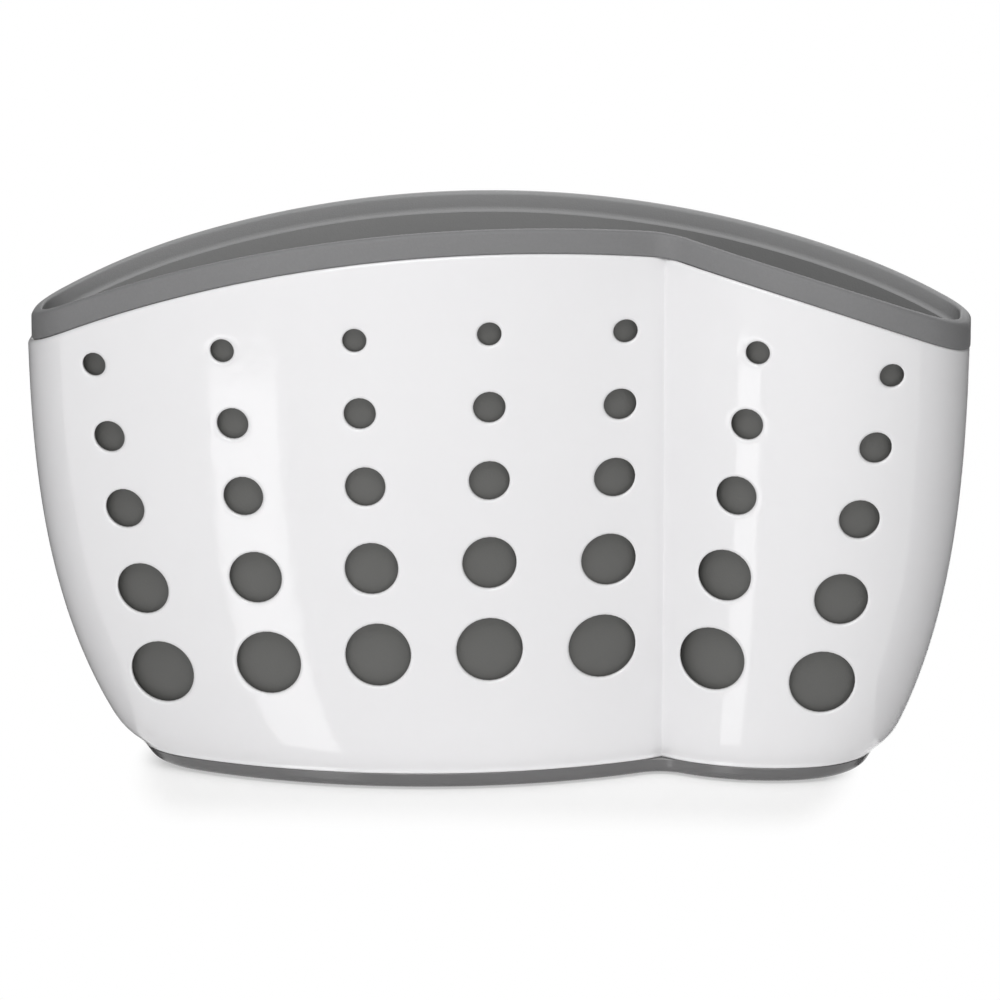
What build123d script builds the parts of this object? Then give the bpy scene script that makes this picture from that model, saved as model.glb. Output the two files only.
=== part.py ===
from build123d import *
from math import sqrt
import os

os.makedirs("parts", exist_ok=True)

# Size of the whole caddy. The origin is the middle of the footprint, on the counter.
overall_width = 216.0
overall_depth = 52.3
body_height = 125.0  # counter to the highest point of the shell's top edge
foot_stand = 0.5  # how far the pads lift the base off the counter
strip_height = 3.4  # visible edge of the base tray

# Arched top line, one circle across the front and the back
arch_radius = 234.0
arch_offset = 0.5  # the crown sits a little right of the middle
rim_height = 5.5

# Plan of the tub at the rim: a broad front lobe on the left, a tight one on the right
front_face = -overall_depth / 2
rim_broad_from_end = 74.5  # middle of the broad lobe, in from the left end
rim_broad_radius = 150.0
rim_tight_from_end = 37.6  # middle of the tight lobe, in from the right end
rim_tight_radius = 48.5
rim_tight_setback = 7.4
rim_left_corner = 18.5
rim_right_corner = 22.8
rim_back_left_corner = 12.0
rim_back_right_corner = 9.0
rim_left_shoulder_drop = 5.9  # how far the back has come forward at the left corner
rim_right_shoulder_drop = 3.0

# Plan of the tub at the counter, where every wall has drawn in
foot_left_draw_in = 24.7
foot_right_draw_in = 20.1
foot_broad_from_end = 61.6
foot_broad_radius = 109.3
foot_broad_setback = 3.3
foot_tight_from_end = 26.0
foot_tight_radius = 38.6
foot_tight_setback = 13.8
foot_left_corner = 24.0
foot_right_corner = 22.5
foot_back_corner = 12.7
foot_shoulder_drop = 1.3
shoulder_radius = 56.0  # slack curve that leads from the flat back into each end
crease_radius = 2.2  # the crease between the two lobes

# How the walls draw in: share of the way from rim to foot, against share of the drop
draw_in_reach_share = 0.92
draw_in_start_share = 3.19
draw_in_end_share = 0.793
level_shares = (0, 0.025, 0.07, 0.14, 0.24, 0.38, 0.56, 0.76, 0.92, 1.06)

# Shell
shell_wall = 1.5
shell_top_round = 0.5

# Hole pattern: five arched rows of seven, fanning out and shrinking towards the rim
hole_diameters = (14.9, 12.1, 9.1, 7.2, 5.4)
hole_row_heights = (33.3, 53.7, 72.9, 89.9, 106.8)  # middle hole of each row
hole_droops = (8.2, 8.75, 9.2, 9.6, 10.0)  # drop of the end holes below the middle one
holes_per_row = 7
hole_pitch_low = 25.15  # spacing along the lowest row
hole_pitch_high = 30.15  # spacing along the highest row
hole_depth = 30.0  # how far behind the front face the holes are cut

# Liner, hung inside the shell
liner_gap = 0.9
liner_shift = 0.5  # it sits to the right in its clearance
liner_wall = 1.3
liner_floor = 1.6
liner_floor_height = 12.0
liner_bottom_round = 0.8
ledge_lift = 0.9  # ledge that the soft rim stands on, above the shell's top edge

# Soft rim, wrapped over a tongue on the liner's top
rim_inset = 0.5
rim_leg = 0.9
rim_inner_leg = 0.8
rim_cap = 1.2
rim_round = 0.8
tongue_wall = 0.9

# Drain slots and drying ribs in the liner's floor, a row for each pocket
drain_pitch = 9.0
drain_slot_width = 3.0
drying_rib_width = 1.4
drying_rib_height = 1.2
sponge_slots = 10
sponge_slot_length = 28.0
sponge_slot_setback = 28.0  # middle of the row behind the front face
brush_slots = 4
brush_slot_length = 17.0
brush_slot_setback = 34.0

# Divider and the channels that it slides in
divider_thickness = 2.0
divider_fit = 0.3
divider_height = 98.0
divider_notch_radius = 9.0
divider_notch_depth = 4.0
divider_corner = 2.0
divider_slot_width = 3.0
divider_slot_length = 46.0
divider_slot_pitch = 6.5
divider_slots = 3
channel_rib = 1.4
channel_depth = 2.0
channel_height = 88.0

# Base tray
tray_floor = 1.4
tray_wall = 1.4
tray_foot_round = 1.2
tray_fit = 0.3
upstand_height = 6.0
upstand_round = 0.5
tray_rib_height = 0.8
tray_rib_width = 1.4
tray_rib_length = 18.0
tray_rib_pitch = 24.0
tray_rib_setback = 35.0
tray_ribs = 5

# Foot pads
pad_diameter = 12.0
pad_recess = 0.6
pad_round = 0.3
pad_spread_x = 116.0
pad_spread_y = 20.0
pad_setback = 33.0  # middle of the pads behind the front face

overrun = 1.0  # how far a cutter passes the face that it cuts

back_face = overall_depth / 2
arch_middle = body_height - arch_radius
strip_top = foot_stand + strip_height
rim_broad_x = rim_broad_from_end - overall_width / 2
rim_tight_x = overall_width / 2 - rim_tight_from_end
foot_left = foot_left_draw_in - overall_width / 2
foot_right = overall_width / 2 - foot_right_draw_in
foot_broad_x = foot_left + foot_broad_from_end
foot_tight_x = foot_right - foot_tight_from_end


def blend(rim_size, foot_size, share):
    """Size part of the way from its value at the rim to its value at the foot."""
    return rim_size + (foot_size - rim_size) * share


def bowed(drop_share):
    """Wall profile: upright under the rim, turning in faster and faster to the foot."""
    reached = max(drop_share, 0) * draw_in_reach_share
    return 1 - (1 - reached**draw_in_start_share) ** draw_in_end_share


def draw_in(height):
    """Share of the way from the rim plan to the foot plan at a height."""
    drop = body_height - height
    return bowed(drop / (body_height - foot_stand)) / bowed(1)


def circles_meet(first, first_radius, second, second_radius):
    """Meeting point of two circles, on the front side."""
    across = second - first
    gap = across.length
    along = (gap**2 + first_radius**2 - second_radius**2) / (2 * gap)
    rise = sqrt(first_radius**2 - along**2)
    direction = across.normalized()
    return first + direction * along + Vector(direction.Y, -direction.X) * rise


def back_corner(end, corner_round, drop):
    """Centres of a back corner and of the slack shoulder that leads into it."""
    side = 1 if end > 0 else -1
    corner = Vector(end - side * corner_round, back_face - drop - corner_round)
    reach = shoulder_radius - corner_round
    along = sqrt(reach**2 - (reach - drop) ** 2)
    return corner, Vector(corner.X - side * along, back_face - shoulder_radius)


def tub_centres(height):
    """Arc centres and radii of the plan at a height, for the outer face of the shell."""
    share = draw_in(height)
    left = blend(-overall_width / 2, foot_left, share)
    right = blend(overall_width / 2, foot_right, share)
    broad_radius = blend(rim_broad_radius, foot_broad_radius, share)
    tight_radius = blend(rim_tight_radius, foot_tight_radius, share)
    broad_front = front_face + foot_broad_setback * share
    tight_front = front_face + blend(rim_tight_setback, foot_tight_setback, share)
    broad = Vector(blend(rim_broad_x, foot_broad_x, share), broad_front + broad_radius)
    tight = Vector(blend(rim_tight_x, foot_tight_x, share), tight_front + tight_radius)

    left_round = blend(rim_left_corner, foot_left_corner, share)
    left_x = left + left_round
    left_y = broad.Y - sqrt((broad_radius - left_round) ** 2 - (left_x - broad.X) ** 2)
    right_round = blend(rim_right_corner, foot_right_corner, share)
    right_x = right - right_round
    right_y = tight.Y - sqrt((tight_radius - right_round) ** 2 - (right_x - tight.X) ** 2)
    crease = circles_meet(broad, broad_radius + crease_radius, tight, tight_radius + crease_radius)
    back_left_round = blend(rim_back_left_corner, foot_back_corner, share)
    left_drop = blend(rim_left_shoulder_drop, foot_shoulder_drop, share)
    back_left, left_shoulder = back_corner(left, back_left_round, left_drop)
    back_right_round = blend(rim_back_right_corner, foot_back_corner, share)
    right_drop = blend(rim_right_shoulder_drop, foot_shoulder_drop, share)
    back_right, right_shoulder = back_corner(right, back_right_round, right_drop)
    return {
        "left": (Vector(left_x, left_y), left_round),
        "broad": (broad, broad_radius),
        "crease": (crease, crease_radius),
        "tight": (tight, tight_radius),
        "right": (Vector(right_x, right_y), right_round),
        "back_right": (back_right, back_right_round),
        "right_shoulder": (right_shoulder, shoulder_radius),
        "left_shoulder": (left_shoulder, shoulder_radius),
        "back_left": (back_left, back_left_round),
    }


def arc_about(centre, start, end):
    """Arc from start to end about a centre, the short way round."""
    radius = (start - centre).length
    toward_middle = ((start - centre) + (end - centre)).normalized()
    return ThreePointArc(start, centre + toward_middle * radius, end)


def tub_section(height, inset, shift=0):
    """Closed plan of the tub at a height, moved in from the outer face by an inset."""
    arcs = tub_centres(height)
    slide = Vector(shift, 0)
    left, left_round = arcs["left"]
    broad, broad_radius = arcs["broad"]
    crease = arcs["crease"][0]
    tight, tight_radius = arcs["tight"]
    right, right_round = arcs["right"]
    back_right, back_right_round = arcs["back_right"]
    back_left, back_left_round = arcs["back_left"]
    right_shoulder = arcs["right_shoulder"][0]
    left_shoulder = arcs["left_shoulder"][0]

    leftmost = left + Vector(inset - left_round, 0)
    onto_broad = left + (left - broad).normalized() * (left_round - inset)
    off_broad = broad + (crease - broad).normalized() * (broad_radius - inset)
    onto_tight = tight + (crease - tight).normalized() * (tight_radius - inset)
    off_tight = right + (right - tight).normalized() * (right_round - inset)
    rightmost = right + Vector(right_round - inset, 0)
    right_turn = back_right + Vector(back_right_round - inset, 0)
    off_right = back_right + (back_right - right_shoulder).normalized() * (back_right_round - inset)
    back_start = right_shoulder + Vector(0, shoulder_radius - inset)
    back_end = left_shoulder + Vector(0, shoulder_radius - inset)
    onto_left = back_left + (back_left - left_shoulder).normalized() * (back_left_round - inset)
    left_turn = back_left + Vector(inset - back_left_round, 0)

    with BuildSketch(Plane.XY.offset(height)) as section:
        with BuildLine():
            arc_about(left + slide, leftmost + slide, onto_broad + slide)
            arc_about(broad + slide, onto_broad + slide, off_broad + slide)
            arc_about(crease + slide, off_broad + slide, onto_tight + slide)
            arc_about(tight + slide, onto_tight + slide, off_tight + slide)
            arc_about(right + slide, off_tight + slide, rightmost + slide)
            Line(rightmost + slide, right_turn + slide)
            arc_about(back_right + slide, right_turn + slide, off_right + slide)
            arc_about(right_shoulder + slide, off_right + slide, back_start + slide)
            Line(back_start + slide, back_end + slide)
            arc_about(left_shoulder + slide, back_end + slide, onto_left + slide)
            arc_about(back_left + slide, onto_left + slide, left_turn + slide)
            Line(left_turn + slide, leftmost + slide)
        make_face()
    return section.sketch


def tub_levels(inset, shift=0):
    """Plans from the counter to above the rim, for one smooth tub."""
    step = body_height - foot_stand
    return [tub_section(foot_stand + step * share, inset, shift) for share in level_shares]


def tub_form(inset, low, shift=0):
    """Solid tub from a height up past the rim, moved in by an inset."""
    with BuildPart() as form:
        loft(sections=tub_levels(inset, shift))
        split(bisect_by=Plane.XY.offset(low), keep=Keep.TOP)
    return form.part


def under_arch(lift):
    """Everything below the arched top line, raised by a lift."""
    with BuildPart() as disc:
        with BuildSketch(Plane.XZ):
            with Locations((arch_offset, arch_middle)):
                Circle(arch_radius + lift)
        extrude(amount=overall_depth, both=True)
    return disc.part


def rim_ring(outer_inset, inner_inset, low_lift, high_lift):
    """Ring that follows the plan at the rim, between two lines over the arched top edge."""
    with BuildPart() as ring:
        extrude(tub_section(rim_crown, outer_inset, liner_shift), amount=-rim_reach)
        extrude(tub_section(rim_crown, inner_inset, liner_shift), amount=-rim_reach, mode=Mode.SUBTRACT)
        add(under_arch(high_lift), mode=Mode.INTERSECT)
        add(under_arch(low_lift), mode=Mode.SUBTRACT)
    return ring.part


# Places that several pieces share
arch_drop = arch_radius - sqrt(arch_radius**2 - (overall_width / 2 + arch_offset) ** 2)
rim_crown = body_height + rim_height + overrun
rim_reach = arch_drop + rim_height + 4 * overrun
liner_outer = shell_wall + liner_gap
liner_inner = liner_outer + liner_wall
liner_floor_top = liner_floor_height + liner_floor
tongue_outer = rim_inset + rim_leg
tongue_inner = tongue_outer + tongue_wall
rim_inner = tongue_inner + rim_inner_leg
tray_floor_top = foot_stand + tray_floor
hole_reach = hole_depth + overrun
drain_rows = (
    (foot_broad_x, sponge_slot_setback, sponge_slots, sponge_slot_length),
    (foot_tight_x, brush_slot_setback, brush_slots, brush_slot_length),
)

# The crease between the lobes, where the divider stands
crease, crease_round = tub_centres(liner_floor_top)["crease"]
crease_x = crease.X + liner_shift
channel_front = crease.Y + crease_round + liner_inner
channel_back = back_face - liner_inner
channel_side = (divider_thickness + channel_rib) / 2 + divider_fit


# Outer shell: a white sleeve, open at the top and the bottom, with its hole pattern
with BuildPart() as outer_shell:
    add(tub_form(0, strip_top))
    loft(sections=tub_levels(shell_wall), mode=Mode.SUBTRACT)
    add(under_arch(0), mode=Mode.INTERSECT)
    top_edge = outer_shell.faces().sort_by(Axis.Z)[-1]
    fillet(top_edge.outer_wire().edges(), radius=shell_top_round)
    with BuildSketch(Plane.XZ.offset(overrun - front_face)):
        end_step = (holes_per_row - 1) / 2
        for diameter, height, droop in zip(hole_diameters, hole_row_heights, hole_droops):
            climb_share = (height - hole_row_heights[0]) / (hole_row_heights[-1] - hole_row_heights[0])
            pitch = blend(hole_pitch_low, hole_pitch_high, climb_share)
            for place in range(holes_per_row):
                step = place - end_step
                with Locations((pitch * step, height - droop * (step / end_step) ** 2)):
                    Circle(diameter / 2)
    extrude(amount=-hole_reach, mode=Mode.SUBTRACT)
outer_shell.part.label = "outer_shell"
export_step(outer_shell.part, "parts/outer_shell.step")

# Base tray: a shallow drip pan that closes the sleeve; its edge shows as the strip
with BuildPart() as base_tray:
    loft(sections=tub_levels(0))
    split(bisect_by=Plane.XY.offset(strip_top), keep=Keep.BOTTOM)
    fillet(base_tray.faces().sort_by(Axis.Z)[0].edges(), radius=tray_foot_round)
    extrude(tub_section(strip_top, shell_wall + tray_fit), amount=upstand_height)
    fillet(base_tray.faces().sort_by(Axis.Z)[-1].edges(), radius=upstand_round)
    hollow = tub_section(strip_top, shell_wall + tray_fit + tray_wall)
    extrude(hollow, amount=upstand_height, mode=Mode.SUBTRACT)
    extrude(hollow, amount=tray_floor_top - strip_top, mode=Mode.SUBTRACT)
    with BuildSketch(Plane.XY.offset(tray_floor_top)):
        with Locations((0, front_face + tray_rib_setback)):
            with GridLocations(tray_rib_pitch, tray_rib_length, tray_ribs, 1):
                Rectangle(tray_rib_width, tray_rib_length)
    extrude(amount=tray_rib_height)
    with BuildSketch(Plane.XY.offset(foot_stand)):
        with Locations((0, front_face + pad_setback)):
            with GridLocations(pad_spread_x, pad_spread_y, 2, 2):
                Circle(pad_diameter / 2)
    extrude(amount=pad_recess, mode=Mode.SUBTRACT)
base_tray.part.label = "base_tray"
export_step(base_tray.part, "parts/base_tray.step")

# Foot pads: four soft discs seated in round recesses under the tray
with BuildPart() as foot_pads:
    with BuildSketch():
        with Locations((0, front_face + pad_setback)):
            with GridLocations(pad_spread_x, pad_spread_y, 2, 2):
                Circle(pad_diameter / 2)
    extrude(amount=foot_stand + pad_recess)
    fillet(foot_pads.edges().group_by(Axis.Z)[0], radius=pad_round)
foot_pads.part.label = "foot_pads"
export_step(foot_pads.part, "parts/foot_pads.step")

# Ribs inside the liner: two pairs, front and back, that hold the divider upright, and
# low ones between the drain slots that keep a wet sponge off the floor
with BuildPart() as liner_ribs:
    for wall_y in (channel_front, channel_back):
        with BuildSketch(Plane.XY.offset(liner_floor_top)):
            with Locations((crease_x, wall_y)):
                with GridLocations(channel_side * 2, channel_depth, 2, 1):
                    Rectangle(channel_rib, 2 * channel_depth)
        extrude(amount=channel_height)
    for bay_x, setback, count, length in drain_rows:
        with BuildSketch(Plane.XY.offset(liner_floor_top)):
            with Locations((bay_x, front_face + setback)):
                with GridLocations(drain_pitch, length, count + 1, 1):
                    Rectangle(drying_rib_width, length)
        extrude(amount=drying_rib_height)
    add(tub_form(liner_outer + liner_wall / 2, liner_floor_height, liner_shift), mode=Mode.INTERSECT)

# Liner: a grey cup that hangs inside the sleeve, with a tongue round its top for the rim
with BuildPart() as liner:
    add(tub_form(liner_outer, liner_floor_height, liner_shift))
    fillet(liner.faces().sort_by(Axis.Z)[0].edges(), radius=liner_bottom_round)
    add(tub_form(liner_inner, liner_floor_top, liner_shift), mode=Mode.SUBTRACT)
    add(under_arch(ledge_lift), mode=Mode.INTERSECT)
    add(rim_ring(tongue_outer, rim_inner, 0, ledge_lift))
    add(rim_ring(tongue_outer, tongue_inner, ledge_lift, rim_height - rim_cap))
    for bay_x, setback, count, length in drain_rows:
        with BuildSketch(Plane.XY.offset(liner_floor_top)):
            with Locations((bay_x, front_face + setback)):
                with GridLocations(drain_pitch, length, count, 1):
                    SlotOverall(length, drain_slot_width, rotation=90)
        extrude(amount=-liner_floor, mode=Mode.SUBTRACT)
    add(liner_ribs.part)
liner.part.label = "liner"
export_step(liner.part, "parts/liner.step")

# Rim band: the soft grey ring moulded over the liner's tongue, resting on the shell's edge
with BuildPart() as rim_band:
    add(rim_ring(rim_inset, rim_inner, 0, rim_height))
    fillet(rim_band.faces().sort_by(Axis.Z)[-1].edges(), radius=rim_round)
    add(rim_ring(tongue_outer, rim_inner + overrun, -overrun, ledge_lift), mode=Mode.SUBTRACT)
    add(rim_ring(tongue_outer, tongue_inner, 0, rim_height - rim_cap), mode=Mode.SUBTRACT)
rim_band.part.label = "rim_band"
export_step(rim_band.part, "parts/rim_band.step")

# Divider: a lift-out wall between the sponge pocket and the brush pocket
with BuildPart() as divider:
    divider_front = channel_front + divider_fit
    divider_back = channel_back - divider_fit
    divider_middle = (divider_front + divider_back) / 2
    divider_top = liner_floor_top + divider_height
    with BuildSketch(Plane.YZ.offset(crease_x)):
        with Locations((divider_middle, liner_floor_top + divider_height / 2)):
            plate = Rectangle(divider_back - divider_front, divider_height)
            fillet(plate.vertices().group_by(Axis.Y)[-1], radius=divider_corner)
        with Locations((divider_middle, divider_top + divider_notch_radius - divider_notch_depth)):
            Circle(divider_notch_radius, mode=Mode.SUBTRACT)
        with Locations((divider_middle, liner_floor_top + divider_height / 2)):
            with GridLocations(divider_slot_pitch, divider_slot_length, divider_slots, 1):
                SlotOverall(divider_slot_length, divider_slot_width, rotation=90, mode=Mode.SUBTRACT)
    extrude(amount=divider_thickness / 2, both=True)
divider.part.label = "divider"
export_step(divider.part, "parts/divider.step")
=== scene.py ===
import bmesh
import bpy
import numpy as np
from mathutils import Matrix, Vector


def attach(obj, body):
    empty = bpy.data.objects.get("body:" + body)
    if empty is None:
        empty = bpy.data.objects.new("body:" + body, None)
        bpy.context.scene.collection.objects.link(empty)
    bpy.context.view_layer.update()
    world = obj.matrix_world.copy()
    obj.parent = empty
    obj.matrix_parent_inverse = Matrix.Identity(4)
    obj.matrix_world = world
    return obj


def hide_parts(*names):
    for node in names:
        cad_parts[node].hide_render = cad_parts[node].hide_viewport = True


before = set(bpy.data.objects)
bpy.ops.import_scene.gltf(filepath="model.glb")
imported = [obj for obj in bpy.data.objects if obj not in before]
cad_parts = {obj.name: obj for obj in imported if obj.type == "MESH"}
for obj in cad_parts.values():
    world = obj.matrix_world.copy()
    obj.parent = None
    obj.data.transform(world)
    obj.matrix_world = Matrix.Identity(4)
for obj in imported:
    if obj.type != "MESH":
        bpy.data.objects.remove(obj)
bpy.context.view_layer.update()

# Camera: the photographer's view, a long lens a little to the right and above,
# looking down at the front lobes. Sizes in metres, angles in degrees.
view_turn, view_tilt = 3.868, 13.715
view_distance = 1.6655
view_target = Vector((0.002729, -0.02615, 0.06953))
view_lens, sensor_width = 265.89, 36.0
nearest, farthest = 0.05, 50.0


def add_object(name, data):
    """A new object of this data, linked to the scene."""
    made = bpy.data.objects.new(name, data)
    bpy.context.scene.collection.objects.link(made)
    return made


turn, tilt = np.radians(view_turn), np.radians(view_tilt)
sight = Vector((-np.sin(turn) * np.cos(tilt), np.cos(turn) * np.cos(tilt), -np.sin(tilt)))
camera_data = bpy.data.cameras.new("front_view")
camera_data.lens, camera_data.sensor_width = view_lens, sensor_width
camera_data.clip_start, camera_data.clip_end = nearest, farthest
camera = add_object("front_view", camera_data)
camera.location = view_target - sight * view_distance
camera.rotation_mode = "QUATERNION"
camera.rotation_quaternion = sight.to_track_quat("-Z", "Y")
bpy.context.scene.camera = camera
bpy.context.scene.view_settings.view_transform = "Standard"

# Studio: a white sweep under and behind the caddy, soft lights over its front and
# back, a strip light low at the front left, whose reflection runs down both lobes
# as a bright band, and a dark flag at each side that shows in reflections alone.
floor_reach = 6.0
floor_tones = (0.92, 0.92, 0.915, 1.0), (0.94, 0.94, 0.935, 1.0)
foot_half, foot_stretch = (0.066, 0.0, 0.0), (3.0, 1.0, 1.0)
whitening_start, whitening_end, white_near = 0.028, 0.056, 0.45
ambient = 0.24
flag_side = 0.3
flag_corners = (-0.1, -0.12), (0.9, -0.5), (0.9, 0.6), (-0.1, 0.3)
flag_tones = (0.01, 0.01, 0.01, 1.0), (0.02, 0.02, 0.02, 1.0)
pure_white = (1.0, 1.0, 1.0, 1.0)


class Wire:
    """An output socket. Arithmetic on wires adds Math nodes; numbers may stand on either side."""

    def __init__(self, tree, socket):
        self.tree, self.socket = tree, socket

    def node(self, kind, settings=None, inputs=None, output=0):
        """A node of this type, its settings set before the values and links of its sockets."""
        made = self.tree.nodes.new(kind)
        for name, value in (settings or {}).items():
            setattr(made, name, value)
        for name, value in (inputs or {}).items():
            if isinstance(value, Wire):
                self.tree.links.new(value.socket, made.inputs[name])
            else:
                made.inputs[name].default_value = value
        return Wire(self.tree, made.outputs[output])

    def math(self, operation, *terms):
        return self.node("ShaderNodeMath", {"operation": operation}, dict(enumerate(terms)))

    def vector(self, operation, *terms, output=0):
        """Vector arithmetic on this and the terms; the second output is the one with a number."""
        inputs = dict(enumerate((self, *terms)))
        return self.node("ShaderNodeVectorMath", {"operation": operation}, inputs, output)

    def axis(self, name):
        """One coordinate of these, X, Y or Z."""
        split = self.node("ShaderNodeSeparateXYZ", None, {"Vector": self})
        return Wire(self.tree, split.socket.node.outputs[name])

    def __add__(self, other):
        return self.math("ADD", self, other)

    __radd__ = __add__

    def __mul__(self, other):
        return self.math("MULTIPLY", self, other)

    __rmul__ = __mul__

    def noise(self, scale, detail=2.0, roughness=0.5):
        """Noise from 0 to 1 over these coordinates, with the scale in cells per metre."""
        values = {"Vector": self, "Scale": scale, "Detail": detail, "Roughness": roughness}
        return self.node("ShaderNodeTexNoise", None, values)

    def between(self, low, high):
        """0 below the low value, 1 above the high one, eased."""
        values = {"Value": self, "From Min": low, "From Max": high}
        return self.node("ShaderNodeMapRange", {"interpolation_type": "SMOOTHSTEP"}, values)

    def mix(self, first, second):
        """Colour part of the way from the first to the second, by this factor."""
        inputs = {0: self, 6: first, 7: second}
        return self.node("ShaderNodeMix", {"data_type": "RGBA"}, inputs, output=2)

    def bump(self, strength, distance):
        """Normal of a surface with this height map on it, the distance in metres."""
        values = {"Strength": strength, "Distance": distance, "Height": self}
        return self.node("ShaderNodeBump", None, values)


def new_material(name):
    """A material with an empty tree, and a wire of its object coordinates."""
    material = bpy.data.materials.new(name)
    material.use_nodes = True
    tree = material.node_tree
    tree.nodes.clear()
    tree.nodes.new("ShaderNodeOutputMaterial")
    return material, Wire(tree, tree.nodes.new("ShaderNodeTexCoord").outputs["Object"])


def finish_material(material, shader):
    """Sends a shader to the material's output."""
    output = material.node_tree.nodes["Material Output"]
    material.node_tree.links.new(shader.socket, output.inputs["Surface"])


def finish_plastic(material, colour, roughness, normal, ior):
    """Gives a material the shader of a plastic or a rubber."""
    values = {"Base Color": colour, "Roughness": roughness, "Normal": normal, "IOR": ior}
    finish_material(material, colour.node("ShaderNodeBsdfPrincipled", None, values))


def add_lamp(name, spot, aim, size, power):
    """Rectangular soft light at a spot, aimed at a point. Metres and watts."""
    data = bpy.data.lights.new(name, "AREA")
    data.shape = "RECTANGLE"
    data.size, data.size_y = size
    data.energy = power
    lamp = add_object(name, data)
    lamp.location = spot
    lamp.rotation_mode = "QUATERNION"
    lamp.rotation_quaternion = (Vector(aim) - Vector(spot)).to_track_quat("-Z", "Y")
    lamp.visible_camera = False
    return lamp


def add_sheet(name, corners, material):
    """A flat face through four corners."""
    mesh = bpy.data.meshes.new(name)
    mesh.from_pydata(corners, [], [(0, 1, 2, 3)])
    mesh.materials.append(material)
    return add_object(name, mesh)


# the floor is shaded near the caddy's foot and turns plain white further out; the distance
# is counted from the foot's long middle line, and threefold past its ends
floor_material, coords = new_material("white_sweep")
floor_colour = coords.noise(3.0).mix(*floor_tones)
floor_white = coords.node("ShaderNodeEmission", None, {"Color": pure_white, "Strength": 1.0})
floor_matte = coords.node("ShaderNodeBsdfDiffuse", None, {"Color": floor_colour})
camera_ray = coords.node("ShaderNodeLightPath")
away = coords.vector("ABSOLUTE").vector("SUBTRACT", foot_half).vector("MAXIMUM", (0.0, 0.0, 0.0))
away = away.vector("MULTIPLY", foot_stretch).vector("LENGTH", output=1)
whitened = white_near + (1 - white_near) * away.between(whitening_start, whitening_end)
layers = {0: whitened * camera_ray, 1: floor_matte, 2: floor_white}
finish_material(floor_material, coords.node("ShaderNodeMixShader", None, layers))
floor_corners = [(floor_reach * x, floor_reach * y, 0) for x, y in ((-1, -1), (1, -1), (1, 1), (-1, 1))]
floor = add_sheet("floor", floor_corners, floor_material)
floor.visible_glossy = False

world = bpy.data.worlds.new("studio")
bpy.context.scene.world = world
world.use_nodes = True
tree = world.node_tree
tree.nodes.clear()
light_path = tree.nodes.new("ShaderNodeLightPath")
ray_kinds = ("Is Camera Ray", "Is Glossy Ray", "Is Transmission Ray")
camera_ray, glossy_ray, through_ray = (Wire(tree, light_path.outputs[kind]) for kind in ray_kinds)
seen = camera_ray + glossy_ray + through_ray
strength = ambient + (1.0 - ambient) * seen.math("MINIMUM", seen, 1.0)
sky = seen.node("ShaderNodeBackground", None, {"Color": pure_white, "Strength": strength})
tree.links.new(sky.socket, tree.nodes.new("ShaderNodeOutputWorld").inputs["Surface"])

front = add_lamp("front_softbox", (-0.05, -0.6, 0.1), aim=(0, 0, 0.05), size=(0.6, 0.18), power=1.03)
front.visible_glossy = False
add_lamp("top_softbox", (0.0, -0.62, 1.0), aim=(0, -0.08, 0.0), size=(0.7, 0.7), power=7.1)
add_lamp("back_softbox", (0.1, 1.0, 0.4), aim=(0, 0, 0.06), size=(0.8, 0.5), power=3.2)
strip_spot = (-0.307, -0.63, -0.235)
strip = add_lamp("strip_light", strip_spot, aim=(0.0, -0.02, 0.05), size=(0.18, 0.36), power=0.5)
strip.visible_diffuse = False

flag_material, coords = new_material("black_flag")
flag_colour = coords.noise(8.0).mix(*flag_tones)
finish_material(flag_material, coords.node("ShaderNodeBsdfDiffuse", None, {"Color": flag_colour}))
for side in (-1, 1):
    flag = add_sheet("side_flag", [(flag_side * side, y, z) for y, z in flag_corners], flag_material)
    for ray in ("camera", "diffuse", "transmission", "volume_scatter", "shadow"):
        setattr(flag, "visible_" + ray, False)

# Shell: the white sleeve, injection moulded in glossy plastic, open at the top
# and the bottom. Two front lobes meet in a crease, the top edge is arched, and the
# 35 drain holes shrink and fan out towards the rim. Sizes in mm from here on.
depth, body_height, foot_stand, strip_top = 52.3, 125.0, 0.5, 3.9
front_face, back_face = -depth / 2, depth / 2
arch_radius, arch_offset = 234.0, 0.5
arch_middle = body_height - arch_radius
rim_sizes = dict(
    left=-108.0, right=108.0, left_corner=18.5, right_corner=22.8,
    broad_x=-33.5, broad_radius=150.0, broad_back=0.0,
    tight_x=70.4, tight_radius=48.5, tight_back=7.4,
    rear_corner=9.0, rear_drop=3.0, far_corner=12.0, far_drop=5.9,
)
foot_sizes = dict(
    left=-83.3, right=87.9, left_corner=24.0, right_corner=22.5,
    broad_x=-21.7, broad_radius=109.3, broad_back=3.3,
    tight_x=61.9, tight_radius=38.6, tight_back=13.8,
    rear_corner=12.7, rear_drop=1.3, far_corner=12.7, far_drop=1.3,
)
crease_radius, shoulder_radius = 2.2, 56.0
fold_before, fold_after, fold_roll, fold_soft = 3.6, 1.6, 0.045, 0.05
draw_reach, draw_start, draw_end = 0.92, 3.19, 0.793
shell_wall = 1.5
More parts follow.
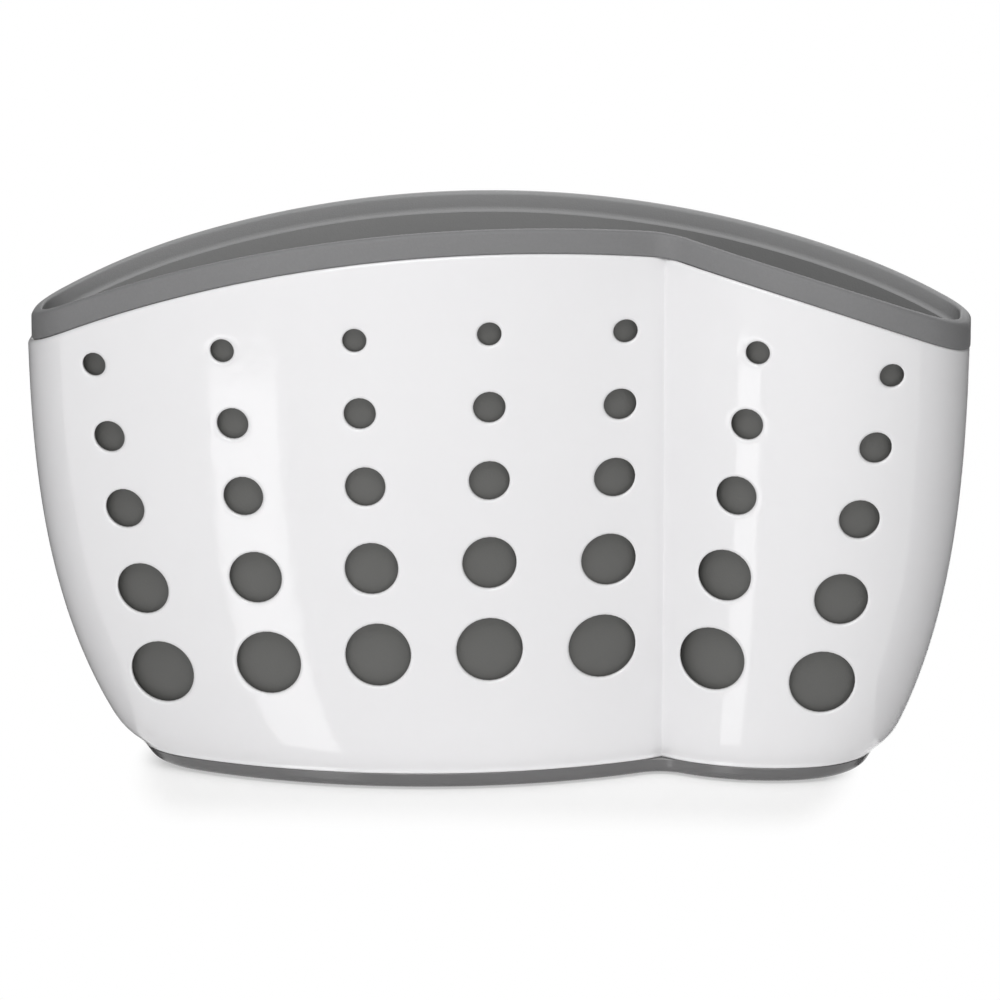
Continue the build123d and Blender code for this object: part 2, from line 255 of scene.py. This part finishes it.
# the holes, row by row from the lowest: size, height, and how far the row's ends sag
hole_diameters = np.array([14.9, 12.1, 9.1, 7.2, 5.4])
hole_heights = np.array([33.3, 53.7, 72.9, 89.9, 106.8])
hole_droops = np.array([8.2, 8.75, 9.2, 9.6, 10.0])
low_pitch, pitch_gain = 25.15, 5.0
hole_pitches = low_pitch + pitch_gain * (hole_heights - hole_heights[0]) / np.ptp(hole_heights)
hole_round, hole_inner_round = 0.6, 0.2
hole_columns, middle_column, line_count = 7, 3, 6
skirt_pitch, skirt_droop = 24.46, 7.9
edge_margin = 4.5
turn_all, turn_all_top, turn_end, turn_end_top, end_power = 0.6, 12.0, 2.2, 9.5, 3
bead_depth, bead_lift, bead_above, bead_below = 0.22, 1.0, 1.2, 0.45
low_guess, high_guess, settle_rounds = 60.0, 100.0, 12
millimetre, merge_within, sharp_from = 0.001, 2e-6, 40.0
broad_lobe, tight_lobe = 1, 3
crease_bound, last_bound = 5, 8


def tub_plan(height, crease_round=crease_radius):
    """Centres, as x + iy, and radii of the plan's nine arcs at each height.

    Every size goes from its value at the rim to its value at the foot by one share,
    which grows with the drop below the rim as 1 - (1 - drop^a)^b: upright at first,
    then turning in faster and faster.
    """
    drop = np.maximum((body_height - height) / (body_height - foot_stand), 0) * draw_reach
    full = 1 - (1 - draw_reach**draw_start) ** draw_end
    share = (1 - (1 - drop**draw_start) ** draw_end) / full
    size = {name: rim_sizes[name] + (foot_sizes[name] - rim_sizes[name]) * share for name in rim_sizes}
    broad_radius, tight_radius = size["broad_radius"], size["tight_radius"]
    broad = size["broad_x"] + 1j * (front_face + size["broad_back"] + broad_radius)
    tight = size["tight_x"] + 1j * (front_face + size["tight_back"] + tight_radius)
    left_x = size["left"] + size["left_corner"]
    right_x = size["right"] - size["right_corner"]
    left_y = broad.imag - np.sqrt((broad_radius - size["left_corner"]) ** 2 - (left_x - broad.real) ** 2)
    right_y = tight.imag - np.sqrt((tight_radius - size["right_corner"]) ** 2 - (right_x - tight.real) ** 2)
    gap = abs(tight - broad)
    along = (gap**2 + (broad_radius + crease_round) ** 2 - (tight_radius + crease_round) ** 2) / (2 * gap)
    rise = np.sqrt((broad_radius + crease_round) ** 2 - along**2)
    crease = broad + (tight - broad) / gap * (along - 1j * rise)
    rears = []
    for side, end, corner_name, dip_name in (
        (1, "right", "rear_corner", "rear_drop"),
        (-1, "left", "far_corner", "far_drop"),
    ):
        radius, dip = size[corner_name], size[dip_name]
        corner = size[end] - side * radius + 1j * (back_face - dip - radius)
        reach = shoulder_radius - radius
        shoulder_x = corner.real - side * np.sqrt(reach**2 - (reach - dip) ** 2)
        shoulder = shoulder_x + 1j * (back_face - shoulder_radius)
        rears.append([(corner, radius), (shoulder, shoulder_radius)])
    return (
        (left_x + 1j * left_y, size["left_corner"]),
        (broad, broad_radius),
        (crease, crease_round),
        (tight, tight_radius),
        (right_x + 1j * right_y, size["right_corner"]),
        *rears[0],
        *rears[1][::-1],
    )


def swing(centre, radius, start, end, share):
    """Point on an arc, a share of the way from its start direction to its end direction."""
    start, end = start / abs(start), end / abs(end)
    return centre + radius * start * np.exp(1j * np.angle(end / start) * share)


def wall_point(station, height, inset, crease_round=crease_radius):
    """Point of the wall, x + iy, moved in by the inset. The station runs round the plan, one
    unit for each arc or side: left corner, broad lobe, crease, tight lobe, right corner, right
    side, back right corner, right shoulder, back, left shoulder, back left corner, left side."""
    station, height, inset = np.broadcast_arrays(station, height, inset)
    plan = tub_plan(height, crease_round)
    (left, left_r), (broad, broad_r), (crease, crease_r), (tight, tight_r), (right, right_r) = plan[:5]
    (rear, rear_r), (east_arm, arm_r), (west_arm, _), (far, far_r) = plan[5:]
    share = station % 1
    east, west, far_end = right + right_r - inset, left - left_r + inset, far - far_r + inset
    back_start, back_end = (arm + 1j * (arm_r - inset) for arm in (east_arm, west_arm))
    legs = [
        swing(left, left_r - inset, -1, left - broad, share),
        swing(broad, broad_r - inset, left - broad, crease - broad, share),
        swing(crease, crease_r + inset, broad - crease, tight - crease, share),
        swing(tight, tight_r - inset, crease - tight, right - tight, share),
        swing(right, right_r - inset, right - tight, 1, share),
        east + (rear + rear_r - inset - east) * share,
        swing(rear, rear_r - inset, 1, rear - east_arm, share),
        swing(east_arm, arm_r - inset, rear - east_arm, 1j, share),
        back_start + (back_end - back_start) * share,
        swing(west_arm, arm_r - inset, 1j, far - west_arm, share),
        swing(far, far_r - inset, far - west_arm, -1, share),
        far_end + (west - far_end) * share,
    ]
    return np.choose(station.astype(int) % len(legs), legs)


def arch(x, lift=0.0):
    """Height of the arched top line at x: one circle, its radius grown by the lift."""
    return arch_middle + np.sqrt((arch_radius + lift) ** 2 - (x - arch_offset) ** 2)


def lobe_y(lobe, x, inset):
    """Front of a lobe at x: the near side of its circle, given as centre and radius."""
    centre, radius = lobe
    return centre.imag - np.sqrt((radius - inset) ** 2 - (x - centre.real) ** 2)


def fold_x(height, inset):
    """Where the two lobes' circles cross: on the line through both crossings, which stands
    square to the line of centres and cuts it the known way along."""
    _, (broad, broad_r), _, (tight, tight_r), *_ = tub_plan(height)
    gap = abs(tight - broad)
    along = (gap**2 + (broad_r - inset) ** 2 - (tight_r - inset) ** 2) / (2 * gap)
    rise = np.sqrt((broad_r - inset) ** 2 - along**2)
    return (broad + (tight - broad) / gap * (along - 1j * rise)).real


def bound_x(bound, height, inset):
    """The nine upright lines that part the front into columns: the lobes' ends, the two
    sides of the crease, and straight fan lines midway between columns of holes."""
    if bound == crease_bound:
        return fold_x(height, inset) - fold_before
    if bound == crease_bound + 1:
        return fold_x(height, inset) + fold_after
    if bound in (0, last_bound):
        return wall_point(1.0 if bound == 0 else 4.0, height, inset).real
    step = bound - middle_column - (0.5 if bound < crease_bound else 1.5)
    sag = hole_droops.mean() * (step / middle_column) ** 2
    climb = (height + sag - hole_heights[0]) / np.ptp(hole_heights)
    return step * (hole_pitches[0] + np.ptp(hole_pitches) * climb)


def front_point(left_bound, share, height, inset):
    """Point of the front face, x + iy: a share of the way between two upright lines, on the
    circle of the lobe there. Round the crease it is the soft minimum of both circles,
    -k log(exp(-a / k) + exp(-b / k)), and the broad one rolls in by c d^2 on its way there."""
    x = bound_x(left_bound, height, inset) * (1 - share) + bound_x(left_bound + 1, height, inset) * share
    plan = tub_plan(height)
    if left_bound != crease_bound:
        lobe = broad_lobe if left_bound < crease_bound else tight_lobe
        return x + 1j * lobe_y(plan[lobe], x, inset)
    broad_y, tight_y = (lobe_y(plan[lobe], x, inset) for lobe in (broad_lobe, tight_lobe))
    rolled = broad_y + fold_roll * (x - bound_x(crease_bound, height, inset)) ** 2
    soft = -fold_soft * np.logaddexp(-rolled / fold_soft, -tight_y / fold_soft)
    return x + 1j * np.where(share >= 1, tight_y, soft)


def row_line(row, x):
    """Height at x of the line below a row of holes; the one past the last runs below the arch."""
    if row == line_count - 1:
        return arch(x) - edge_margin
    middle = (hole_heights[1:] + hole_heights[:-1]) / 2
    heights = np.append(2 * hole_heights[0] - middle[0], middle)
    droops = np.append(skirt_droop, (hole_droops[1:] + hole_droops[:-1]) / 2)
    pitches = np.append(skirt_pitch, (hole_pitches[1:] + hole_pitches[:-1]) / 2)
    return heights[row] - droops[row] * (x / (middle_column * pitches[row])) ** 2


def settle(guess, place, line):
    """Height where a line over x meets an upright line of the wall, found by repeating."""
    height = guess
    for _ in range(settle_rounds):
        height = line(place(height).real)
    return height


def front_rows(left_bound, shares, inset):
    """Heights of the six row lines over a front column, one row of the result for each."""
    place = lambda height: front_point(left_bound, shares, height, inset)
    guess = np.full(len(shares), low_guess)
    return np.array([settle(guess, place, lambda x: row_line(row, x)) for row in range(line_count)])


def as_points(plan, height):
    """Rows of x, y, z from plan points x + iy and their heights."""
    plan, height = np.broadcast_arrays(plan, height)
    return np.stack([plan.real, plan.imag, height], -1)


def foot_turn(height, x):
    """How far the wall turns in above the tray: parabolas a ((top - z) / (top - foot))^2, one
    all round and one that grows round the two end corners as a power of how far sideways the
    wall faces there, and a soft bead just above the edge."""
    plan = tub_plan(height)
    (left, left_r), (right, right_r) = plan[0], plan[4]
    end = np.clip(np.maximum((left.real - x) / left_r, (x - right.real) / right_r), 0, 1)
    pulls = ((turn_all, turn_all_top), (turn_end * end**end_power, turn_end_top))
    turned = sum(pull * (np.maximum(top - height, 0) / (top - strip_top)) ** 2 for pull, top in pulls)
    lift = height - strip_top - bead_lift
    return turned + bead_depth * np.exp(-((lift / np.where(lift > 0, bead_above, bead_below)) ** 2))


def turned_in(place, height, inset):
    """Rows of x, y, z of the wall with the turn of its foot added to the inset."""
    return as_points(place(height, inset + foot_turn(height, place(height, inset).real)), height)


def foot_lines(place, lifts, insets):
    """Points at each lift above the tray and each inset, along upright lines of the wall."""
    return np.array([turned_in(place, strip_top + lift, inset) for lift, inset in zip(lifts, insets)])


def top_lines(place, drops, insets):
    """Points at each drop below the arch and each inset, along upright lines of the wall."""
    rows = []
    for drop, inset in zip(drops, insets):
        height = settle(high_guess, lambda z: place(z, inset), lambda x: arch(x) - drop)
        rows.append(as_points(place(height, inset), height))
    return np.array(rows)


def grid_faces(rows, columns, closed=False):
    """Quads of a grid of points, rows by columns; closed joins the last column to the first."""
    index = np.arange(rows * columns).reshape(rows, columns)
    if closed:
        index = np.hstack([index, index[:, :1]])
    return np.stack([index[:-1, :-1], index[:-1, 1:], index[1:, 1:], index[1:, :-1]], -1).reshape(-1, 4)


def add_patch(patches, points, closed=False):
    """Adds a grid of points, rows by columns, to a piece's patches."""
    patches.append((points, grid_faces(points.shape[0], points.shape[1], closed)))


def ring_stations(counts, first=0):
    """Stations round the plan from the first leg, with a count of steps for each leg."""
    legs = enumerate(counts, first)
    return np.concatenate([np.linspace(leg, leg + 1, count + 1)[:-1] for leg, count in legs])


def build_piece(name, patches):
    """One closed mesh from patches of points in millimetres and their quads. Shared edges are
    merged, faces turned outwards, and edges sharper than the angle left crisp."""
    points = np.concatenate([patch[0].reshape(-1, 3) for patch in patches]) * millimetre
    starts = np.cumsum([0] + [patch[0].size // 3 for patch in patches])
    faces = np.concatenate([patch[1] + start for patch, start in zip(patches, starts)])
    mesh = bpy.data.meshes.new(name)
    mesh.from_pydata(points, [], faces)
    work = bmesh.new()
    work.from_mesh(mesh)
    bmesh.ops.remove_doubles(work, verts=work.verts, dist=merge_within)
    bmesh.ops.dissolve_degenerate(work, edges=work.edges, dist=merge_within / 2)
    bmesh.ops.recalc_face_normals(work, faces=work.faces)
    work.to_mesh(mesh)
    open_edges = sum(1 for edge in work.edges if len(edge.link_faces) != 2)
    work.free()
    if open_edges:
        print(name, "has", open_edges, "edges that don't join two faces")
    mesh.shade_smooth()
    mesh.set_sharp_from_angle(angle=np.radians(sharp_from))
    return add_object(name, mesh)


# top edge, as drop below the arch against inset: up the face, over a full round, down inside
face_drops = np.array([edge_margin, 3.2, 2.0, 1.2, shell_wall / 2])
face_count = len(face_drops)
roll = np.radians(np.arange(18, 180, 18))
top_drops = np.concatenate([face_drops, shell_wall / 2 * (1 - np.sin(roll)), face_drops[::-1]])
top_insets = np.concatenate([
    np.zeros(face_count),
    shell_wall / 2 * (1 - np.cos(roll)),
    np.full(face_count, shell_wall),
])
# bottom edge, as lift above the tray against inset: rounded corners with a flat foot between
foot_lifts = np.array([0.3, 0.09, 0.0, 0.0, 0.09, 0.3])
foot_insets = np.array([0.0, 0.09, 0.3, 1.2, 1.41, 1.5])
foot_start = strip_top + foot_lifts[0]
# how points are spread up the skirt, over a hole's cell, and across the crease
skirt_shares = np.array([0, 0.012, 0.025, 0.04, 0.06, 0.085, 0.12, 0.17, 0.25, 0.36, 0.52, 0.74, 1.0])
cell_shares = np.linspace(0, 1, 13)
crease_shares = np.array([
    0, 0.12, 0.24, 0.36, 0.48, 0.56, 0.61, 0.64, 0.66, 0.68, 0.7, 0.72, 0.74, 0.77, 0.81, 0.87, 0.93, 1,
])
shell_patches = []

# the front: top edge, foot and skirt of every column, and the strip that holds the crease
for left_bound in range(last_bound):
    shares = crease_shares if left_bound == crease_bound else cell_shares
    place = lambda height, inset: front_point(left_bound, shares, height, inset)
    add_patch(shell_patches, top_lines(place, top_drops, top_insets))
    add_patch(shell_patches, foot_lines(place, foot_lifts, foot_insets))
    for inset in (0.0, shell_wall):
        rows = front_rows(left_bound, shares, inset)
        skirt = foot_start + (rows[0] - foot_start) * skirt_shares[:, None]
        add_patch(shell_patches, turned_in(place, skirt, inset))
        if left_bound == crease_bound:
            for low, high in zip(rows[:-1], rows[1:]):
                heights = low + (high - low) * cell_shares[:, None]
                add_patch(shell_patches, as_points(place(heights, inset), heights))


def cell_edge(left_bound, row, inset):
    """Points x + iz round a hole's cell, counterclockwise from its lower left corner."""
    rows = front_rows(left_bound, cell_shares, inset)
    low, high = rows[row], rows[row + 1]
    bottom = front_point(left_bound, cell_shares, low, inset).real + 1j * low
    top = front_point(left_bound, cell_shares, high, inset).real + 1j * high
    left_z = low[0] + (high[0] - low[0]) * cell_shares
    right_z = low[-1] + (high[-1] - low[-1]) * cell_shares
    left = bound_x(left_bound, left_z, inset) + 1j * left_z
    right = bound_x(left_bound + 1, right_z, inset) + 1j * right_z
    return np.concatenate([bottom[:-1], right[:-1], top[:0:-1], left[:0:-1]])


def lobe_face(spot, inset, lobe):
    """Points on a lobe's circle over spots x + iz."""
    return np.stack([spot.real, lobe_y(tub_plan(spot.imag)[lobe], spot.real, inset), spot.imag], -1)


def hole_cell(left_bound, column, row):
    """A cell of the front wall with its hole: rings of points from the cell's edge in to the
    hole, over its rounded mouth, through the wall along y, and back out over the inner face."""
    step = column - middle_column
    drop = hole_droops[row] * (step / middle_column) ** 2
    centre = hole_pitches[row] * step + 1j * (hole_heights[row] - drop)
    radius = hole_diameters[row] / 2
    outer, inner = cell_edge(left_bound, row, 0.0), cell_edge(left_bound, row, shell_wall)
    ray = (outer - centre) / abs(outer - centre)
    lobe = broad_lobe if left_bound < crease_bound else tight_lobe
    rings = []
    mouth = centre + ray * (radius + hole_round)
    for share in (0, 0.3, 0.55, 0.75, 0.9, 1):
        rings.append(lobe_face(outer + (mouth - outer) * share, 0.0, lobe))
    for turn in np.radians((30, 60, 90)):
        ring = lobe_face(centre + ray * (radius + hole_round * (1 - np.sin(turn))), 0.0, lobe)
        rings.append(ring + [0, hole_round * (1 - np.cos(turn)), 0])
    for turn in np.radians((90, 45)):
        ring = lobe_face(centre + ray * (radius + hole_inner_round * (1 - np.sin(turn))), shell_wall, lobe)
        rings.append(ring - [0, hole_inner_round * (1 - np.cos(turn)), 0])
    mouth = centre + ray * (radius + hole_inner_round)
    for share in (1, 0.85, 0.6, 0.3, 0):
        rings.append(lobe_face(inner + (mouth - inner) * share, shell_wall, lobe))
    return np.array(rings)


for column in range(hole_columns):
    for row in range(len(hole_heights)):
        left_bound = column if column < crease_bound else column + 1
        add_patch(shell_patches, hole_cell(left_bound, column, row), closed=True)


def bound_levels(bound, inset):
    """Heights of every row of points up one end of the front, foot to top edge."""
    place = lambda height: bound_x(bound, height, inset) + 0j
    lines = [settle(low_guess, place, lambda x: row_line(row, x)) for row in range(line_count)]
    levels = list(foot_start + (lines[0] - foot_start) * skirt_shares)
    for low, high in zip(lines[:-1], lines[1:]):
        levels += list(low + (high - low) * cell_shares[1:])
    for drop in face_drops[1:]:
        levels.append(settle(high_guess, place, lambda x: arch(x) - drop))
    return np.array(levels)


# the rest of the sleeve, from the right end of the tight lobe round the back to the left end
# of the broad lobe: closed profiles of outer face, top round, inner face and foot
stations = np.append(ring_stations((14, 6, 14, 8, 40, 8, 14, 6, 16), first=4), 13 - 1e-9)
travel = (np.arange(len(stations)) / (len(stations) - 1))[:, None]
walls = []
for inset in (0.0, shell_wall):
    ends = [bound_levels(bound, inset) for bound in (last_bound, 0)]
    climbs = [(levels - foot_start) / (levels[-1] - foot_start) for levels in ends]
    place = lambda height: wall_point(stations, height, inset)
    guess = np.full(len(stations), high_guess)
    high = settle(guess, place, lambda x: arch(x) - shell_wall / 2)[:, None]
    heights = foot_start + (climbs[0] * (1 - travel) + climbs[1] * travel) * (high - foot_start)
    around = lambda height, inset: wall_point(stations[:, None], height, inset)
    walls.append(turned_in(around, heights, inset))
place = lambda height, inset: wall_point(stations, height, inset)
crown = top_lines(place, top_drops[face_count:-face_count], top_insets[face_count:-face_count])
foot = foot_lines(place, foot_lifts[1:-1], foot_insets[1:-1])
ring = np.concatenate([walls[0], crown.swapaxes(0, 1), walls[1][:, ::-1], foot[::-1].swapaxes(0, 1)], axis=1)
add_patch(shell_patches, ring, closed=True)
shell = build_piece("shell", shell_patches)

shell_material, coords = new_material("white_gloss_plastic")
cloud = coords.noise(22.0, 3.0)
scuff = coords.noise(1400.0, 4.0, 0.7).between(0.62, 0.8)
shell_colour = cloud.mix((0.798, 0.792, 0.806, 1.0), (0.822, 0.817, 0.828, 1.0))
shell_rough = 0.06 + 0.04 * cloud + 0.05 * scuff
shell_bump = coords.noise(260.0).bump(0.035, 0.001)
finish_plastic(shell_material, shell_colour, shell_rough, shell_bump, ior=1.49)
shell.data.materials.append(shell_material)
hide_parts("outer_shell")
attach(shell, "shell")

# Rim band: a soft grey elastomer ring, moulded over the tongue on the liner's top
# edge. It rests on the sleeve's edge and laps over it outside and inside, where a
# thin curved lip runs out over the liner's wall.
liner_shift = 0.5
rim_outer, rim_inner, rim_tall, rim_bend, rim_crease = 0.5, 3.1, 5.49, 0.8, 7.0
groove_outer, groove_inner, groove_top, inner_foot = 1.4, 2.3, 4.3, 0.9
edge_bend, lip_bend = 0.5, 0.2
lip = ((0, 1.1), (0.15, 0.55), (0.5, 0.12), (0.55, 0))


def rounded(corners, bends, steps):
    """Closed profile through corners, given as inset and lift, each bend cut by a curve that
    leaves both sides smoothly."""
    out = []
    count = len(corners)
    for spot, bend in enumerate(bends):
        here = np.array(corners[spot], float)
        if bend == 0:
            out.append(here[None])
            continue
        before = np.array(corners[spot - 1], float) - here
        after = np.array(corners[(spot + 1) % count], float) - here
        start = here + before / np.linalg.norm(before) * bend
        end = here + after / np.linalg.norm(after) * bend
        turn = np.linspace(0, np.pi / 2, steps)[:, None]
        corner = start + end - here
        out.append(corner + (start - corner) * np.cos(turn) + (end - corner) * np.sin(turn))
    return np.concatenate(out)


rim_corners = [
    (rim_outer, 0),
    (rim_outer, rim_tall),
    (rim_inner, rim_tall),
    *((rim_inner + inward, inner_foot + lift) for inward, lift in lip),
    (groove_inner, inner_foot),
    (groove_inner, groove_top),
    (groove_outer, groove_top),
    (groove_outer, 0),
]
rim_bends = [edge_bend, rim_bend, rim_bend, lip_bend, lip_bend, 0, 0, 0, 0, 0, 0]
rim_profile = rounded(rim_corners, rim_bends, steps=7)
rim_stations = ring_stations((18, 70, 10, 44, 16, 8, 14, 10, 80, 12, 14, 6))[:, None]
rim_plan = wall_point(rim_stations, body_height, rim_profile[:, 0], rim_crease) + liner_shift
rim_points = as_points(rim_plan, arch(rim_plan.real, rim_profile[:, 1]))
rim_patches = []
add_patch(rim_patches, np.concatenate([rim_points, rim_points[:1]]), closed=True)
rim = build_piece("soft_rim", rim_patches)

rim_material, coords = new_material("soft_grey_elastomer")
grain = coords.noise(2600.0, 3.0, 0.6)
mottle = 0.6 * coords.noise(30.0, 3.0) + 0.4 * coords.noise(1500.0)
rim_front = mottle.mix((0.175, 0.175, 0.178, 1.0), (0.225, 0.225, 0.228, 1.0))
# painted light: towards the back the ring is painted far paler than at the front, standing in for more light
# on its inner back face
rim_back_painted_light = mottle.mix((0.33, 0.33, 0.333, 1.0), (0.4, 0.4, 0.403, 1.0))
rim_colour_with_painted_light = coords.axis("Y").between(0.0, 0.022).mix(rim_front, rim_back_painted_light)
rim_bump = grain.bump(0.35, 0.0002)
finish_plastic(rim_material, rim_colour_with_painted_light, 0.62 + 0.16 * grain, rim_bump, ior=1.45)
rim.data.materials.append(rim_material)
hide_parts("rim_band")
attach(rim, "liner")


# Liner: the grey cup that hangs in the sleeve by its top edge, moulded in satin
# plastic with a fine spark-eroded grain; its floor has drain slots and ribs. Its
# back wall is painted paler than its front as painted light, most of all along the
# wide pocket, while the narrow pocket's back is painted darker as painted shade.
def dress(name, material):
    """Gives a CAD node, carried over as it is, its material."""
    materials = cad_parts[name].data.materials
    materials.clear()
    materials.append(material)


liner_material, coords = new_material("grey_satin_plastic")
grain = coords.noise(2200.0, 3.0, 0.6)
mottle = 0.7 * coords.noise(26.0, 3.0) + 0.3 * grain
liner_front = mottle.mix((0.09, 0.09, 0.086, 1.0), (0.123, 0.123, 0.118, 1.0))
liner_wide_painted_light = mottle.mix((0.33, 0.33, 0.33, 1.0), (0.4, 0.4, 0.4, 1.0))
# painted shade: the narrow pocket's back is painted darker than the wide one's, for the shade beside the
# divider
liner_narrow_painted_shade = mottle.mix((0.25, 0.25, 0.25, 1.0), (0.31, 0.31, 0.31, 1.0))
liner_back_painted_light_and_shade = coords.axis("X").between(0.015, 0.055).mix(liner_wide_painted_light, liner_narrow_painted_shade)
# painted light: the back wall is painted far paler than the front, for the light it catches
liner_colour_with_painted_light_and_shade = coords.axis("Y").between(-0.004, 0.016).mix(liner_front, liner_back_painted_light_and_shade)
liner_bump = grain.bump(0.25, 0.0002)
finish_plastic(liner_material, liner_colour_with_painted_light_and_shade, 0.5 + 0.14 * grain, liner_bump, ior=1.49)
dress("liner", liner_material)

# Divider: a lift-out wall of the same plastic as the liner, slid down between the
# liner's channel ribs, where it parts the wide pocket from the narrow one.
divider_material, coords = new_material("divider_plastic")
grain = coords.noise(2400.0, 3.0, 0.6)
divider_colour = coords.noise(40.0, 3.0).mix((0.14, 0.14, 0.139, 1.0), (0.175, 0.175, 0.173, 1.0))
divider_bump = grain.bump(0.25, 0.0002)
finish_plastic(divider_material, divider_colour, 0.48 + 0.14 * grain, divider_bump, ior=1.49)
dress("divider", divider_material)

# Base tray: the shallow drip pan that closes the sleeve's foot; only its polished
# edge shows as a grey strip. The upstand inside keeps the sleeve in place, and five
# drain ribs stand on its floor.
tray_foot, tray_floor, tray_edge, tray_gap, tray_wall = 0.5, 1.9, 1.2, 1.8, 1.4
upstand_top, upstand_bend, edge_chamfer = 9.9, 0.5, 0.15
edge_levels, upstand_levels = (2.4, 3.2), (strip_top + 2.0, 5.0)
tray_crease = 8.0
pan_middle = 20.0 + 12.0j
rib_count, rib_pitch, rib_middle, rib_half = 5, 24.0, (0.0, 8.85), (0.7, 9.0)
rib_high, rib_sunk = 0.8, 0.3


def quarter(middle_inset, middle_height, radius, quadrant):
    """Quarter circle of a profile round a middle, run clockwise. Quadrant 0 lies further in and
    up, 1 further out and up, 2 further out and down."""
    swept = np.radians(90.0 * quadrant + np.linspace(0, 90, 5))[::-1]
    return np.stack([middle_inset + radius * np.cos(swept), middle_height + radius * np.sin(swept)], -1)


# profile as inset and height, from the middle of the underside out, over the edge and the
# upstand, and in over the pan's floor; all of it draws in with the sleeve's foot
upstand_inner = tray_gap + tray_wall
tray_profile = np.concatenate([
    quarter(tray_edge, tray_foot + tray_edge, tray_edge, 2),
    [(0.0, level) for level in edge_levels],
    [(0.0, strip_top - edge_chamfer), (edge_chamfer, strip_top), (tray_gap, strip_top)],
    [(tray_gap, upstand_levels[0])],
    quarter(tray_gap + upstand_bend, upstand_top - upstand_bend, upstand_bend, 1),
    quarter(upstand_inner - upstand_bend, upstand_top - upstand_bend, upstand_bend, 0),
    [(upstand_inner, upstand_levels[1]), (upstand_inner, tray_floor)],
])
tray_insets, tray_heights = tray_profile.T
tray_stations = ring_stations((20, 60, 18, 40, 16, 6, 12, 6, 60, 6, 12, 8))[:, None]
on_edge = (tray_insets < tray_gap) & (tray_heights <= strip_top)
tray_bends = np.where(on_edge, tray_crease, crease_radius)
edge_pull = foot_turn(strip_top, wall_point(tray_stations, strip_top, 0.0, tray_crease).real)
plan_heights = np.minimum(tray_heights, strip_top)
tray_plan = wall_point(tray_stations, plan_heights, tray_insets + edge_pull, tray_bends)
shares_out = np.array([0.0, 0.25, 0.5, 0.8, 0.97])[:, None]
underside = as_points(pan_middle + (tray_plan[:, 0] - pan_middle) * shares_out, tray_foot)
pan_floor = as_points(pan_middle + (tray_plan[:, -1] - pan_middle) * shares_out[::-1], tray_floor)
tray_patches = []
tray_rings = as_points(tray_plan, tray_heights).swapaxes(0, 1)
add_patch(tray_patches, np.concatenate([underside, tray_rings, pan_floor]), closed=True)

# each drain rib is a bar, a superellipse in plan and rounded over at the top
around, climb = np.linspace(0, 2 * np.pi, 25)[:-1], np.radians(np.linspace(0, 80, 6))[:, None]
across = np.cos(climb) ** 0.25
bar_x = rib_half[0] * across * np.sign(np.cos(around)) * abs(np.cos(around)) ** 0.5
bar_y = (rib_half[1] - rib_half[0] * (1 - across)) * np.sign(np.sin(around)) * abs(np.sin(around)) ** 0.5
bar_z = tray_floor + rib_high * np.sin(climb) + 0 * around
for step in range(rib_count):
    spot = rib_middle[0] + rib_pitch * (step - (rib_count - 1) / 2)
    bar = np.stack([spot + bar_x, rib_middle[1] + bar_y, bar_z], -1)
    bar_foot = bar[0] * [1, 1, 0] + [0, 0, tray_floor - rib_sunk]
    foot_middle = np.broadcast_to([spot, rib_middle[1], tray_floor - rib_sunk], bar_foot.shape)
    top_middle = np.broadcast_to([spot, rib_middle[1], tray_floor + rib_high], bar_foot.shape)
    add_patch(tray_patches, np.concatenate([[foot_middle], [bar_foot], bar, [top_middle]]), closed=True)
tray = build_piece("drip_tray", tray_patches)

tray_material, coords = new_material("grey_tray_plastic")
grain = coords.noise(1800.0, 3.0, 0.6)
tray_colour = coords.noise(35.0, 3.0).mix((0.112, 0.111, 0.112, 1.0), (0.146, 0.144, 0.146, 1.0))
tray_bump = grain.bump(0.08, 0.0002)
finish_plastic(tray_material, tray_colour, 0.18 + 0.1 * grain, tray_bump, ior=1.49)
tray.data.materials.append(tray_material)
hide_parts("base_tray")
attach(tray, "base")

# Foot pads: four soft rubber discs on the tray's underside, which the caddy
# stands on; a matte black with a coarse grain.
pad_material, coords = new_material("pad_rubber")
grain = coords.noise(3000.0, 3.0, 0.6)
pad_colour = coords.noise(120.0, 3.0).mix((0.04, 0.04, 0.04, 1.0), (0.065, 0.065, 0.065, 1.0))
pad_bump = grain.bump(0.4, 0.0002)
finish_plastic(pad_material, pad_colour, 0.75 + 0.1 * grain, pad_bump, ior=1.5)
dress("foot_pads", pad_material)
